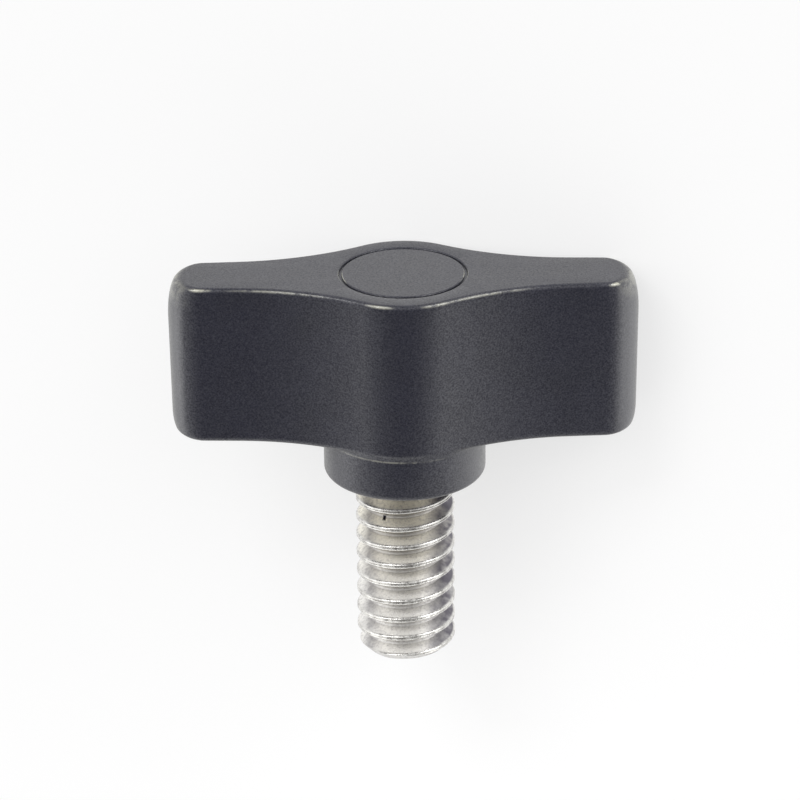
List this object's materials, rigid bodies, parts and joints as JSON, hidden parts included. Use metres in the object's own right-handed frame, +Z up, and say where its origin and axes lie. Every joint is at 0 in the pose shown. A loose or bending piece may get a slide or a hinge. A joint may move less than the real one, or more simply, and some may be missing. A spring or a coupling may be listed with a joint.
{
  "type": "thumb screw",
  "caption": "Thumb screw for tightening by hand: a black moulded winged handle with a short round boss and a flush round cap, on a threaded steel stud.",
  "frame": {"origin": "centre of the seat, where the stud leaves the boss, on the stud's axis", "axes": "+Y along the stud to its tip, +Z up as the screw lies on its side, +X to the raised wing"},
  "size_m": [0.0282, 0.0256, 0.0106],
  "materials": {
    "handle_plastic": "matt black, fine spark-eroded texture",
    "stud_steel": "bright rolled thread, plated",
    "cap_plastic": "matt black, fine spark-eroded texture"
  },
  "bodies": {
    "root": {"handle": "handle_plastic", "threaded_stud": "stud_steel", "cover_cap": "cap_plastic"}
  },
  "joints": []
}
